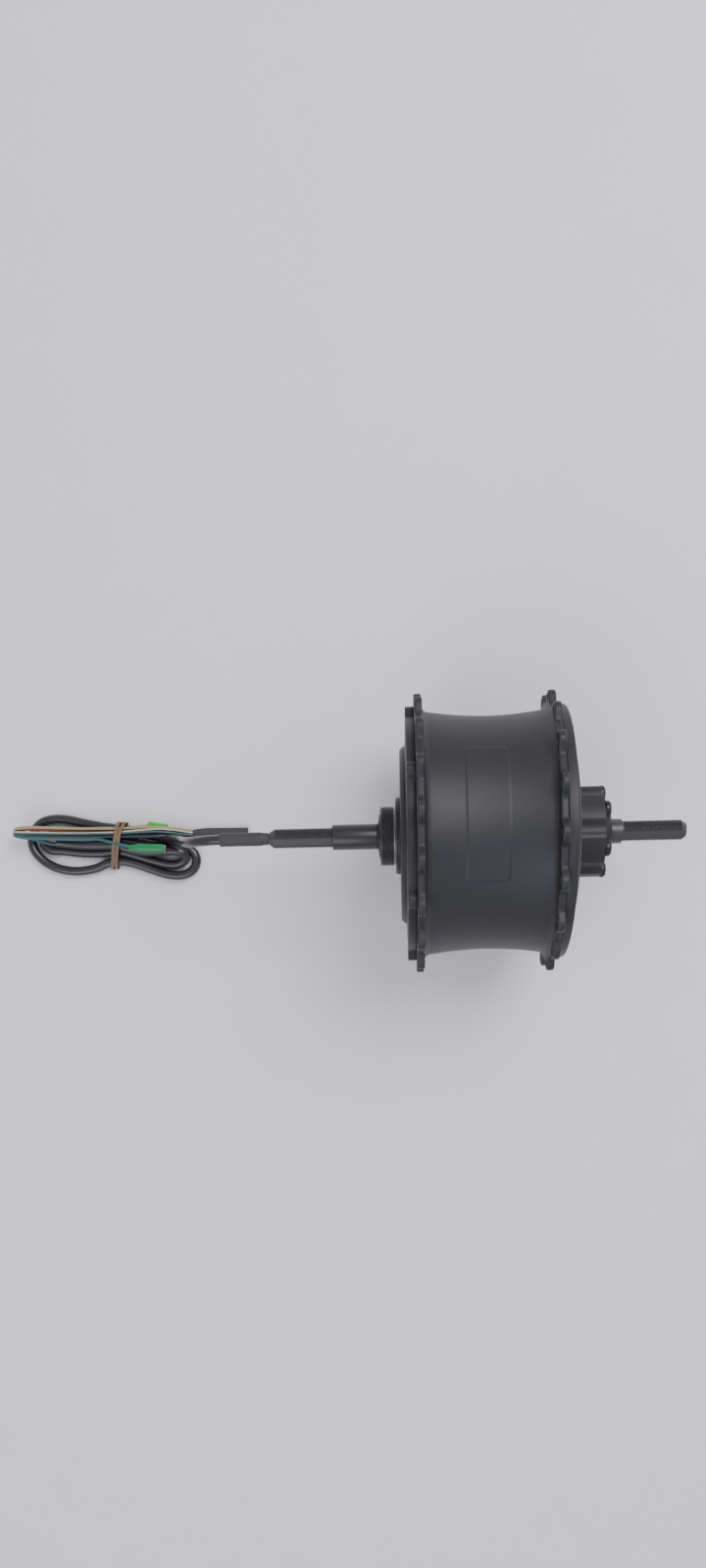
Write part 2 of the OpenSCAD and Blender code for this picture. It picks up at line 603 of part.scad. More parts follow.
axle();
stator_key();
spacer_sleeve();
drive_bearing_inner();
brake_bearing_inner();
rotor_bearing_inner();
stator_spider();
stator_core();
stator_coils();
coil_end_frames();
hall_board();
hall_sensors();
board_screws();
inner_cable();
phase_leads();
clutch_inner_race();
axle_circlips();
hub_shell();
left_spoke_flange();
right_spoke_flange();
drive_side_cover();
freewheel_boss();
brake_side_cover();
ring_gear();
drive_cover_screws();
brake_cover_screws();
rotor_bolts();
drive_bearing_outer();
brake_bearing_outer();
drive_bearing_balls();
brake_bearing_balls();
drive_side_seal();
brake_side_seal();
rotor_can();
rotor_magnets();
sun_gear();
sun_gear_screws();
rotor_bearing_outer();
rotor_bearing_balls();
planet_carrier();
planet_pins();
clutch_outer_race();
clutch_rollers();
clutch_springs();
planet_gear_1();
planet_gear_2();
planet_gear_3();
planet_bush_1();
planet_bush_2();
planet_bush_3();
motor_cable();
cable_sleeve();
wire_bundle();
terminal_sleeve();
phase_tube_upper();
phase_tube_lower();
phase_terminal();
rubber_band();
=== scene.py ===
# %% [markdown]
# # Geared rear hub motor
# A rear hub motor for a wide-tyred electric bicycle, lying on a pale table and seen from above.
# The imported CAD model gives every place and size. This script keeps the CAD pieces inside the hub,
# and builds finer pieces for what the eye meets: threads, lobed flanges, fillets and the cable.
#
# The axle lies along Y, the freewheel side is -Y, and lengths below are in millimetres until a mesh
# is made.

# %% Load the frame
import json
import math

import bpy
import numpy as np
from mathutils import Matrix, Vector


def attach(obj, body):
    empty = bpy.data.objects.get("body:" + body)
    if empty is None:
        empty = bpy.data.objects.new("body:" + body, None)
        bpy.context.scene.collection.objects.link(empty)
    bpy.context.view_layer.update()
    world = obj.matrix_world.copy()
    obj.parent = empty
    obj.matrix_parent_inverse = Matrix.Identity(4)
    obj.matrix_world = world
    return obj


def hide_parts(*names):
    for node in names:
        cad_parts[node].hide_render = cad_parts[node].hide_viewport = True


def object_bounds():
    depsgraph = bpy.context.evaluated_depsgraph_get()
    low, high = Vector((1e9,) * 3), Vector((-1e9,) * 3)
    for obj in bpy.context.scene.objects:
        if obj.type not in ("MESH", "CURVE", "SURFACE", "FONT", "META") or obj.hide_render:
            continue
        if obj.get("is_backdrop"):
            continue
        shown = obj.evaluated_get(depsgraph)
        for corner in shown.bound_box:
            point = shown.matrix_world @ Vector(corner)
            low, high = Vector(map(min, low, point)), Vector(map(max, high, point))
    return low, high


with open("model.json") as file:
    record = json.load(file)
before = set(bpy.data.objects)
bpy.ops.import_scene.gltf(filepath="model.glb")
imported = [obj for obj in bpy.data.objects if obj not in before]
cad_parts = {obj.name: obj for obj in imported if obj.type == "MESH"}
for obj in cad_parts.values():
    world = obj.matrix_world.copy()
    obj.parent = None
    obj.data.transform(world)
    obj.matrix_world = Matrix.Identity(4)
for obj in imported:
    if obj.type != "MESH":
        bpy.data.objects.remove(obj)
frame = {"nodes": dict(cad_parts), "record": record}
size = {"cad": [list(corner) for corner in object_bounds()]}
print("box of the CAD model, m:", [[round(v, 4) for v in c] for c in size["cad"]])

# %% [markdown]
# ## Camera
# The view is from above, over the drive side of the hub, with the axle running across the frame.
# The frame is upright, 9 by 20, so the 36 mm sensor lies along its long side. A focal length of
# 27 mm on that side sees a little more than the object's own length across the short side. The lens
# is shifted by 0.161 of the long side, as on a view camera, so that the optical axis passes well below
# the hub. The two flanges then draw a little closer together towards the bottom, which no unshifted
# camera gives at this framing. There is no depth of field, because everything is sharp from the table
# up to the top of the flanges.

# %% Make the camera
camera_place = (0.0, -0.0478, 0.7096)
pitch, yaw, roll = np.radians([9.607, -2.238, 1.284])
turn_x = np.array(Matrix.Rotation(pitch, 3, "X"))
turn_y = np.array(Matrix.Rotation(yaw, 3, "Y"))
turn_z = np.array(Matrix.Rotation(roll, 3, "Z"))
# Rows are the camera's right, up and back directions before its three turns
looking_down = np.array([[0, 1, 0], [-1, 0, 0], [0, 0, 1.0]])
camera_turn = (turn_z @ turn_x @ turn_y @ looking_down).T

camera_data = bpy.data.cameras.new("camera")
camera_data.sensor_width = 36.0
camera_data.lens = 27.034
camera_data.shift_y = 0.161
camera_data.clip_start, camera_data.clip_end = 0.01, 20.0
camera = bpy.data.objects.new("camera", camera_data)
bpy.context.scene.collection.objects.link(camera)
placing = np.eye(4)
placing[:3, :3], placing[:3, 3] = camera_turn, camera_place
camera.matrix_world = Matrix(placing.tolist())
bpy.context.scene.camera = camera
print("camera looks along", np.round(-camera_turn[:, 2], 3))

# %% [markdown]
# ## Table, backdrop and light
# The table is one large plain sheet just under the lowest point of the object. The light is soft: a
# bright even world and two big lamps overhead, one on the freewheel side and a weaker one opposite.
# Big lamps leave only faint shadows under the flanges and long soft streaks along the axle.

# %% Table and lights
table_z = size["cad"][0][2] - 0.0004
half_table = 3
table_corners = [(x * half_table, y * half_table, table_z) for x, y in ((-1, -1), (1, -1), (1, 1), (-1, 1))]
table_mesh = bpy.data.meshes.new("table")
table_mesh.from_pydata(table_corners, [], [(0, 1, 2, 3)])
table = bpy.data.objects.new("table", table_mesh)
bpy.context.scene.collection.objects.link(table)
table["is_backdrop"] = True

world = bpy.data.worlds.new("studio")
world.use_nodes = True
world.node_tree.nodes["Background"].inputs["Color"].default_value = (0.94, 0.92, 0.98, 1)
world.node_tree.nodes["Background"].inputs["Strength"].default_value = 0.62
bpy.context.scene.world = world


def lamp(name, place, aim, side, watts, colour):
    """A square area lamp of that side in metres, at place, facing aim."""
    data = bpy.data.lights.new(name, "AREA")
    data.shape, data.size, data.energy, data.color = "SQUARE", side, watts, colour
    lamp_object = bpy.data.objects.new(name, data)
    bpy.context.scene.collection.objects.link(lamp_object)
    back = np.array(place, float) - np.array(aim, float)
    back /= np.linalg.norm(back)
    right = np.cross([0.0, 1.0, 0.01], back)
    right /= np.linalg.norm(right)
    facing = np.eye(4)
    facing[:3, :3] = np.stack([right, np.cross(back, right), back], 1)
    facing[:3, 3] = place
    lamp_object.matrix_world = Matrix(facing.tolist())


lamp("key_lamp", (-0.75, 0.55, 1.35), (0, 0, 0), 0.9, 18.0, (1.0, 0.985, 0.97))
lamp("fill_lamp", (0.9, -0.5, 1.2), (0, -0.05, 0), 1.0, 7.0, (0.95, 0.97, 1.0))
print("table at", round(table_z * 1000, 2), "mm")

# %% [markdown]
# ## Helpers for shapes
# Most pieces are turned parts: an outline of (radius, station along Y) swept round the axle. The
# angle round the axle starts at +X and goes towards -Z, which is a right-handed turn about +Y.
# `rounded` puts an arc on each corner of an outline, and `lathe` sweeps it as one numpy array. A
# mesh is closed, so the sign of its volume tells whether its faces look outward.

# %% Shape helpers
def rounded(corners, steps=4):
    """Outline with an arc on each corner. Corners are (r, y, arc radius, *extra).

    The extra values stay with their corner. The arc's ends lie radius / tan(half the corner's angle)
    from the corner, or closer where a side is too short for that."""
    points = np.array([c[:2] for c in corners], float)
    out = []
    for i, corner in enumerate(corners):
        p, radius, extra = points[i], corner[2], tuple(corner[3:])
        before, after = points[i - 1] - p, points[(i + 1) % len(points)] - p
        room = min(np.linalg.norm(before), np.linalg.norm(after)) * 0.49
        before, after = before / np.linalg.norm(before), after / np.linalg.norm(after)
        half = math.acos(np.clip(before @ after, -1, 1)) / 2
        if radius == 0 or half > 1.55:
            out.append((*p, *extra))
            continue
        reach = min(radius / math.tan(half), room)
        radius = reach * math.tan(half)
        middle = p + (before + after) / np.linalg.norm(before + after) * radius / math.sin(half)
        first, last = p + before * reach - middle, p + after * reach - middle
        sweep = math.pi - 2 * half
        for k in range(steps + 1):
            s = k / steps
            arm = (math.sin((1 - s) * sweep) * first + math.sin(s * sweep) * last) / math.sin(sweep)
            out.append((*(middle + arm), *extra))
    return np.array(out)


def grid_faces(rows, columns, wrap_rows=True):
    """Quads between neighbouring points of a rows x columns grid.

    It closes on itself across its columns, and along its rows too if wrap_rows."""
    i = np.arange(rows if wrap_rows else rows - 1)[:, None]
    j = np.arange(columns)[None, :]
    a, b = i * columns + j, i * columns + (j + 1) % columns
    c, d = ((i + 1) % rows) * columns + (j + 1) % columns, ((i + 1) % rows) * columns + j
    return np.stack([a, b, c, d], -1).reshape(-1, 4)


def place_piece(piece, body, replaces):
    bpy.context.scene.collection.objects.link(piece)
    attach(piece, body)
    if replaces:
        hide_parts(*replaces)


def solid(name, parts, material, body, replaces=(), sharp=32.0):
    """One object from parts, a list of (vertices in mm, faces).

    Each part is closed, and is turned inside out if its volume is negative. Edges that bend by more
    than sharp degrees stay sharp."""
    vertices, faces, start = [], [], 0
    for points, quads in parts:
        points = np.asarray(points, float).reshape(-1, 3)
        quads = [list(q) for q in quads]
        fan = np.array([(q[0], q[k], q[k + 1]) for q in quads for k in range(1, len(q) - 1)])
        a, b, c = points[fan[:, 0]], points[fan[:, 1]], points[fan[:, 2]]
        if (a * np.cross(b, c)).sum() < 0:
            quads = [q[::-1] for q in quads]
        vertices.append(points)
        faces += [[start + v for v in q] for q in quads]
        start += len(points)
    mesh = bpy.data.meshes.new(name)
    mesh.from_pydata((np.concatenate(vertices) / 1000).tolist(), [], faces)
    mesh.shade_smooth()
    mesh.set_sharp_from_angle(angle=math.radians(sharp))
    mesh.materials.append(material)
    piece = bpy.data.objects.new(name, mesh)
    place_piece(piece, body, replaces)
    print(f"{name}: {len(mesh.vertices)} points, {len(faces)} faces")
    return piece


def lathe(outline, columns, shape=None):
    """Closed ring swept from a closed outline of (radius, station, ...) rows.

    A point is (r cos t, y, -r sin t). shape(r, y, t, extra columns) may return another r."""
    outline = np.asarray(outline, float)
    t = np.linspace(0, 2 * np.pi, columns, endpoint=False)[None, :]
    r, y = outline[:, :1] + 0 * t, outline[:, 1:2] + 0 * t
    if shape:
        r = shape(r, y, t, outline[:, 2:])
    points = np.stack([r * np.cos(t), y, -r * np.sin(t)], -1)
    return points, grid_faces(len(outline), columns)


def averaged(value, width):
    """Moving average over width samples of a value that runs once round the axle."""
    wrapped = np.r_[value[-width:], value, value[:width]]
    return np.convolve(wrapped, np.ones(width) / width, "same")[width:-width]


def bumps(t, count, start, base, centre, radius, soften):
    """Polar radius of a disc of radius base with count round lobes.

    Each lobe is a circle of that radius at distance centre. At angle d from its middle the polar radius
    is centre cos d + sqrt(radius^2 - centre^2 sin^2 d). Moving averages over soften degrees round the
    inner corners."""
    step = 2 * np.pi / count
    samples_per_degree = 20
    fine = np.linspace(0, 2 * np.pi, 360 * samples_per_degree, endpoint=False)
    d = (fine - math.radians(start) + step / 2) % step - step / 2
    inside = radius**2 - (centre * np.sin(d)) ** 2
    value = np.where(inside > 0, centre * np.cos(d) + np.sqrt(np.maximum(inside, 0)), 0)
    value = np.maximum(base, value)
    width = int(soften * samples_per_degree) | 1
    for _ in range(2):
        value = averaged(value, width)
    return np.interp(t, np.r_[fine, 2 * np.pi], np.r_[value, value[0]])


def smooth_path(points, per):
    """Points on a cardinal spline through the given ones, per to each stretch."""
    p = np.asarray(points, float)
    ends = np.concatenate([p[:1], p, p[-1:]])
    a, b, c, d = ends[:-3], ends[1:-2], ends[2:-1], ends[3:]
    u = np.linspace(0, 1, per, endpoint=False)[None, :, None]
    a, b, c, d = (v[:, None, :] for v in (a, b, c, d))
    curve = (b * (1 + u * u * (2 * u - 3)) + c * u * u * (3 - 2 * u)
             + (c - a) / 2 * u * (u - 1) ** 2 + (d - b) / 2 * u * u * (u - 1))
    return np.concatenate([curve.reshape(-1, 3), p[-1:]])


def path_length(points):
    """Sum of the straight steps along the points."""
    return float(np.linalg.norm(np.diff(points, axis=0), axis=1).sum())


print("helpers ready")

# %% [markdown]
# ## Materials
# Each finish is a small node tree on object coordinates, so it stays with its piece. Noise changes
# the roughness and a fine bump breaks up the reflections, which is what tells satin anodised
# aluminium from plastic. The blacks are never pure: bead-blasted anodising reads as charcoal.

# %% Material maker
def finish_of(name, colour, metallic, roughness, grain=900.0, bump=0.0, spread=0.05, shade=0.12,
              stretch=(1, 1, 1), transmission=0.0, coat=0.0):
    """Principled finish with a little wear in it.

    Fine noise, grain to the metre, moves the roughness by spread and raises the surface by bump in mm.
    Stretch scales it along X, Y and Z. Clouds of a few centimetres move the colour by shade."""
    material = bpy.data.materials.new(name)
    material.use_nodes = True
    nodes, links = material.node_tree.nodes, material.node_tree.links
    shader = nodes["Principled BSDF"]
    shader.inputs["Metallic"].default_value = metallic
    shader.inputs["Transmission Weight"].default_value = transmission
    shader.inputs["Coat Weight"].default_value = coat
    shader.inputs["Coat Roughness"].default_value = 0.2
    where = nodes.new("ShaderNodeTexCoord")
    scaling = nodes.new("ShaderNodeMapping")
    scaling.inputs["Scale"].default_value = stretch
    noise = nodes.new("ShaderNodeTexNoise")
    noise.inputs["Scale"].default_value = grain
    noise.inputs["Detail"].default_value = 3.0
    links.new(where.outputs["Object"], scaling.inputs["Vector"])
    links.new(scaling.outputs["Vector"], noise.inputs["Vector"])
    cloud = nodes.new("ShaderNodeTexNoise")
    cloud.inputs["Scale"].default_value = 28.0
    cloud.inputs["Detail"].default_value = 4.0
    links.new(where.outputs["Object"], cloud.inputs["Vector"])
    tint = nodes.new("ShaderNodeMix")
    tint.data_type = "RGBA"
    tint.inputs[6].default_value = (*[c * (1 - shade) for c in colour], 1)
    tint.inputs[7].default_value = (*[min(1, c * (1 + shade)) for c in colour], 1)
    links.new(cloud.outputs["Fac"], tint.inputs[0])
    links.new(tint.outputs[2], shader.inputs["Base Color"])
    rough = nodes.new("ShaderNodeMapRange")
    rough.inputs["From Min"].default_value, rough.inputs["From Max"].default_value = 0.3, 0.7
    rough.inputs["To Min"].default_value = max(0.02, roughness - spread)
    rough.inputs["To Max"].default_value = min(1, roughness + spread)
    links.new(noise.outputs["Fac"], rough.inputs["Value"])
    links.new(rough.outputs["Result"], shader.inputs["Roughness"])
    if bump:
        raised = nodes.new("ShaderNodeBump")
        raised.inputs["Distance"].default_value = bump / 1000
        raised.inputs["Strength"].default_value = 0.6
        links.new(noise.outputs["Fac"], raised.inputs["Height"])
        links.new(raised.outputs["Normal"], shader.inputs["Normal"])
    return material


satin_black = finish_of("satin_black", (0.037, 0.038, 0.044), 0.45, 0.5, 1800, 0.02, 0.05)
oxide_steel = finish_of("oxide_steel", (0.052, 0.052, 0.058), 0.55, 0.32, 1400, 0.01, 0.06, 0.2)
thread_steel = finish_of("thread_steel", (0.080, 0.078, 0.086), 0.5, 0.40, 700, 0.0, 0.06, 0.15)
boss_black = finish_of("boss_black", (0.080, 0.079, 0.085), 0.5, 0.32, 900, 0.0, 0.06)
screw_black = finish_of("screw_black", (0.040, 0.040, 0.045), 0.7, 0.36, 1500, 0.01, 0.08)
ground_steel = finish_of("ground_steel", (0.62, 0.63, 0.65), 1.0, 0.16, 2500, 0.0, 0.05, 0.05, (1, 9, 1))
bare_alloy = finish_of("bare_alloy", (0.60, 0.61, 0.63), 1.0, 0.34, 1800, 0.01, 0.08, 0.08, (1, 8, 1))
core_steel = finish_of("core_steel", (0.30, 0.31, 0.33), 0.9, 0.42, 1200, 0.05, 0.1, 0.15, (0.02, 2, 0.02))
copper = finish_of("copper", (0.62, 0.27, 0.10), 0.95, 0.26, 1300, 0.15, 0.08, 0.15, (1, 0.1, 1))
ivory = finish_of("ivory_nylon", (0.74, 0.70, 0.58), 0.0, 0.45, 1500, 0.02)
gear_nylon = finish_of("gear_nylon", (0.78, 0.74, 0.62), 0.0, 0.40, 1500, 0.01, 0.06, 0.06, coat=0.15)
board_green = finish_of("board_green", (0.012, 0.105, 0.040), 0.0, 0.28, 900, 0.01, 0.06, 0.2, coat=0.4)
black_resin = finish_of("black_resin", (0.020, 0.020, 0.022), 0.0, 0.42, 1500, 0.01)
magnet_nickel = finish_of("magnet_nickel", (0.50, 0.50, 0.52), 1.0, 0.2, 1500, 0.0, 0.06)
bronze = finish_of("bronze", (0.42, 0.25, 0.10), 0.9, 0.38, 2600, 0.03, 0.1, 0.2)
cable_black = finish_of("cable_black", (0.024, 0.023, 0.030), 0.0, 0.25, 1600, 0.008, 0.05, 0.2, coat=0.4)
sleeve_black = finish_of("sleeve_black", (0.042, 0.042, 0.048), 0.0, 0.52, 1300, 0.03, 0.08, 0.2)
band_brown = finish_of("band_brown", (0.205, 0.125, 0.078), 0.0, 0.62, 1500, 0.05, 0.08, 0.25)
seal_black = finish_of("seal_black", (0.015, 0.015, 0.016), 0.0, 0.5, 1500, 0.02)
tube_lime = finish_of("tube_lime", (0.10, 0.78, 0.10), 0.0, 0.22, 1200, 0.03, 0.06, 0.1, transmission=0.55)
tube_green = finish_of("tube_green", (0.03, 0.50, 0.17), 0.0, 0.2, 1200, 0.03, 0.06, 0.15, transmission=0.6)
tin_metal = finish_of("tin_metal", (0.24, 0.24, 0.22), 1.0, 0.42, 1500, 0.01, 0.08)
wire_colours = {
    "yellow": (0.34, 0.30, 0.14), "red": (0.25, 0.05, 0.045), "white": (0.50, 0.49, 0.46),
    "navy": (0.020, 0.024, 0.042), "teal": (0.028, 0.115, 0.118), "green": (0.045, 0.13, 0.095),
    "black": (0.018, 0.018, 0.02),
}
wire_finishes = {k: finish_of("wire_" + k, c, 0.0, 0.36, 1500, 0.01, 0.06, 0.12, coat=0.1)
                 for k, c in wire_colours.items()}

floor_finish = finish_of("table_top", (0.90, 0.885, 0.93), 0.0, 0.75, 260, 0.0, 0.08, 0.02)
table.data.materials.append(floor_finish)
print(len(bpy.data.materials), "materials")

# %% [markdown]
# ## Motor cable
# The cable is one cord of 6.2 mm, 0.65 m long. It leaves the hollow end of the axle, runs straight
# inside its heat-shrink tube, drops to the table and lies there in two folded turns. Each turn goes
# left, comes back, and lies inside the one before, and the last stretch rests on top of the others.
# The rubber band holds the hank where all strands run side by side. The points are the CAD route's.

# %% Motor cable
cable_low = -78.4
cable_route = [
    (0, -122.5, 0), (0, -133, 0), (0, -144, 0), (0, -154, 0), (0.5, -164, -3), (1, -172, -9.5),
    (1, -177, -19), (0.5, -181, -32), (0, -185, -46), (0, -189, -59), (-1, -195, -69.5),
    (-2.5, -203, -76), (-5, -213, cable_low), (-7.5, -222, -77.9), (-9, -232, -77.2),
    (-10.5, -242, -77.9), (-13, -254, cable_low), (-15.5, -265, cable_low), (-16, -274, cable_low),
    (-14, -282, cable_low), (-8, -288, cable_low), (0, -289.5, cable_low), (7, -286.5, cable_low),
    (13, -280, cable_low), (17, -271, cable_low), (18.5, -260, cable_low), (17, -248, cable_low),
    (14, -240, -77.9), (12.5, -231, -77.2), (14.5, -221, -77.9), (18.5, -210, cable_low),
    (22, -199, cable_low), (22.5, -190, cable_low), (19.5, -183, cable_low), (13.5, -180, cable_low),
    (7.5, -182, cable_low), (4.5, -188, cable_low), (4, -199, cable_low), (3, -211, cable_low),
    (0.5, -222, -77.9), (-2, -232, -77.2), (-3, -243, -77.9), (-4, -256, cable_low),
    (-5.5, -268, cable_low), (-5, -276, cable_low), (-0.5, -281.5, cable_low), (4, -277, cable_low),
    (5, -268, cable_low), (6.5, -256, cable_low), (6.8, -243, -77.9), (6, -232, -77.2),
    (8.5, -222, -77.9), (12, -211, cable_low), (14.8, -201, cable_low), (15.2, -193, -78),
    (12.5, -187.5, -76.5), (8.5, -187.5, -74), (6.5, -193, -72.4), (6.5, -203, -72.6),
    (6.5, -213, -73.2), (4.5, -223, -73), (2, -232, -72.3), (1.8, -243, -73.2), (1.5, -254, -74),
    (0.5, -264, -74.5), (-0.5, -272, -74),
]


def cord_piece(name, points, diameter, material, replaces=()):
    """A round cord as a curve of short straight steps along the points, on the axle's body."""
    data = bpy.data.curves.new(name, "CURVE")
    data.dimensions, data.bevel_depth, data.bevel_resolution = "3D", diameter / 2000, 5
    data.use_fill_caps, data.resolution_u, data.render_resolution_u = True, 1, 1
    spline = data.splines.new("POLY")
    spline.points.add(len(points) - 1)
    spline.points.foreach_set("co", np.c_[np.asarray(points) / 1000, np.ones(len(points))].ravel())
    spline.use_smooth = True
    data.materials.append(material)
    piece = bpy.data.objects.new(name, data)
    place_piece(piece, "axle_set", replaces)
    return piece


cable_d = 6.2
cable_points = smooth_path(cable_route, 8)
motor_cable = cord_piece("motor_cable_jacket", cable_points, cable_d, cable_black,
                         ["motor_cable"])
print("motor cable:", round(path_length(cable_points)), "mm long")

# %% [markdown]
# ## Thin wires
# Nine wires come out of the jacket's end, turn up and back over themselves at the far left, and
# run right on top of the hank. Seven of them end in the flat black sleeve, and one in each green tube.
# The three thicker ones feed the motor's phases. Each is a cord of its own, set beside the bundle's
# middle line, and the offsets drift along the way so that the wires cross a little instead of lying
# parallel like a ribbon.

# %% Thin wires
wire_route = [
    (-0.6, -272.6, -74), (-2.5, -280, -72), (-4.5, -286, -71.5), (-6, -291.5, -71.8), (-7.4, -295.6, -71),
    (-8, -297.4, -68.8), (-8, -296, -66.6), (-7.9, -292, -66.2), (-7.6, -284, -66.8), (-6.9, -270, -68.5),
    (-6.3, -255, -70.5), (-6.1, -243, -71), (-6, -232, -71), (-6.4, -222, -71.6), (-7, -211, -72.2),
    (-7.2, -203, -72.6), (-6.8, -197.5, -73.8), (-6, -190, -76.6), (-4.6, -181.5, -79),
]
wire_middle = smooth_path(wire_route, 8)


def wire_line(side, height, ends, drift, phase):
    """Middle line of one wire: the bundle's line, moved sideways and up.

    The sideways shift is ends[0] at the jacket, half of side round the turn, side along the hank and
    ends[1] at the far end. A slow sine of size drift makes it wander."""
    s = np.linspace(0, 1, len(wire_middle))
    along = np.gradient(wire_middle, axis=0)
    along /= np.linalg.norm(along, axis=1)[:, None]
    across = np.array([1.0, 0.0, 0.0])[None, :] + 0 * along
    across -= (across * along).sum(1)[:, None] * along
    across /= np.linalg.norm(across, axis=1)[:, None]
    up = np.cross(across, along)
    turn, hank = (0.2, 0.27), (0.42, 0.74)
    shift = np.interp(s, [0, *turn, *hank, 1], [ends[0], side * 0.45, side * 0.5, side, side, ends[1]])
    wander = np.sin(2 * np.pi * (1.4 * s + phase)) * np.interp(s, [0, 0.1, 0.9, 1], [0, 1, 1, 0])
    shift = shift + drift * wander
    lift = np.interp(s, [0, 0.2, 0.9, 1], [height * 0.4, height, height, height * 0.5])
    return wire_middle + across * shift[:, None] + up * lift[:, None]


wires = []


def add_wire(name, colour, line, diameter):
    """Make one wire along the line, and keep it in the list of wires."""
    wires.append((cord_piece(name, line, diameter, wire_finishes[colour]), line, diameter))


wire_plan = [
    # name, colour, diameter, side, height, offsets at the two ends, drift, phase
    ("wire_yellow", "yellow", 1.7, -2.8, 0.3, (-1.2, -1.6), 0.3, 0.0),
    ("wire_red", "red", 1.3, -1.4, -0.4, (-0.6, -1.2), 0.6, 0.35),
    ("wire_white", "white", 1.3, -0.4, 0.9, (0.0, -0.4), 0.5, 0.6),
    ("wire_black", "black", 1.3, -2.0, -1.3, (0.6, 0.4), 0.4, 0.1),
    ("wire_green", "green", 1.3, 0.7, 1.1, (-0.2, 1.1), 0.5, 0.85),
    ("wire_blue", "navy", 1.5, 1.0, -0.2, (1.2, 1.8), 0.4, 0.2),
]
for name, colour, diameter, side, height, ends, drift, phase in wire_plan:
    add_wire(name, colour, wire_line(side, height, ends, drift, phase), diameter)

# The three phase wires leave the bundle near the rubber band, and run on through these points
phase_plan = [
    # name, colour, diameter, side, height, points
    ("phase_wire_navy", "navy", 2.3, 2.0, 0.2, [
        (-3.6, -224, -70.8), (-3.4, -212, -70.2), (-3.4, -203, -70.6), (-3.6, -194, -73.6),
        (-3.4, -184, -78.6)]),
    ("phase_wire_teal", "teal", 2.3, 3.6, 0.4, [
        (0.6, -232, -68.3), (2.0, -226, -67.4), (3.0, -220, -67.2), (3.8, -213, -67.2), (4.2, -206, -67.2)]),
    ("phase_wire_lime", "yellow", 2.0, -3.4, -1.2, [
        (-8.9, -226, -73.6), (-9.9, -217, -75.8), (-10.2, -210, -78), (-9.3, -204, -78.5)]),
]
for name, colour, diameter, side, height, tail in phase_plan:
    lead = wire_line(side, height, (side * 0.35, side), 0.3, 0.5)[::4]
    lead = lead[lead[:, 1] < tail[0][1] - 7]
    add_wire(name, colour, smooth_path(np.concatenate([lead, tail]), 5), diameter)
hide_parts("wire_bundle")
for piece, line, diameter in wires:
    print(piece.name, round(path_length(line)), "mm")

# %% [markdown]
# ## What is on the cable
# A heat-shrink tube grips the cable where it leaves the axle. It is cut square, a little lumpy, and
# drawn in by the thread beside it. The flat sleeve over the wires' ends is a shrunk tube too, wide
# and thin, narrower where the wires go in. Two clear green tubes cover the phase terminals: one metal
# tongue shows at the end of the lower one. The band is two turns of flat brown rubber.

# %% Sleeves, tubes and band
def swept(points, half_width, half_height, columns, power):
    """Closed bar along the points with flat ends and a superellipse section.

    The section is (cos^(2 / power), sin^(2 / power)), scaled by the two half sizes at each point."""
    p = np.asarray(points, float)
    along = np.gradient(p, axis=0)
    along /= np.linalg.norm(along, axis=1)[:, None]
    across = np.cross(along, [0, 0, 1.0])
    across /= np.linalg.norm(across, axis=1)[:, None]
    up = np.cross(across, along)
    t = np.linspace(0, 2 * np.pi, columns, endpoint=False)
    c, s = (np.sign(f) * np.abs(f) ** (2 / power) for f in (np.cos(t), np.sin(t)))
    w = np.broadcast_to(half_width, len(p))[:, None, None]
    h = np.broadcast_to(half_height, len(p))[:, None, None]
    ring = p[:, None, :] + across[:, None, :] * c[None, :, None] * w
    ring = ring + up[:, None, :] * s[None, :, None] * h
    quads = grid_faces(len(p), columns, False).tolist()
    last = (len(p) - 1) * columns
    quads += [list(range(columns))[::-1], [last + k for k in range(columns)]]
    return ring.reshape(-1, 3), quads


def turned_about_z(x, y, degrees):
    """The two coordinates after a turn about Z."""
    a = math.radians(degrees)
    return x * math.cos(a) - y * math.sin(a), x * math.sin(a) + y * math.cos(a)


def green_tube(name, corners, place, degrees, stations, wide, high, material, node):
    """A clear tube from (r, y) corners, moved to place and turned about Z.

    Its width and height are the shares wide and high at the stations."""
    points, quads = lathe(rounded(corners, 3), 48)
    points = points.reshape(-1, 3)
    along = points[:, 1]
    x, y = turned_about_z(points[:, 0] * np.interp(along, stations, wide), along, degrees)
    z = points[:, 2] * np.interp(along, stations, high)
    points = np.stack([x, y, z], 1) + np.array(place)
    return solid(name, [(points, quads)], material, "axle_set", [node])


def lumps(y, t, size):
    """Small swellings of heat-shrink: two sines along the tube, one of them turning round it."""
    return size * (np.sin(y * 0.9) * 0.5 + np.sin(y * 0.37 + 2 * t) * 0.5)


sleeve_outline = rounded([(3.15, -123.1, 0), (3.55, -123.1, 0.2), (3.75, -126.5, 1.5), (4.05, -127.6, 1.5),
                          (4.08, -140, 0), (4.02, -152.3, 0.3), (3.15, -152.3, 0)], 4)
fine_rows = [sleeve_outline[0]]
for a, b in zip(sleeve_outline[:-1], sleeve_outline[1:]):
    count = max(1, int(abs(b[1] - a[1]) / 1.0))
    fine_rows += [a + (b - a) * k / count for k in range(1, count + 1)]


def shrunk(r, y, t, extra):
    """The tube's outside with its swellings, kept inside the CAD tube of 4.1 mm. The bore stays round."""
    return np.where(r > 3.4, np.minimum(r + lumps(y, t, 0.05), 4.1), r)


heat_shrink = solid("cable_heat_shrink", [lathe(fine_rows, 72, shrunk)], sleeve_black, "axle_set",
                    ["cable_sleeve"])

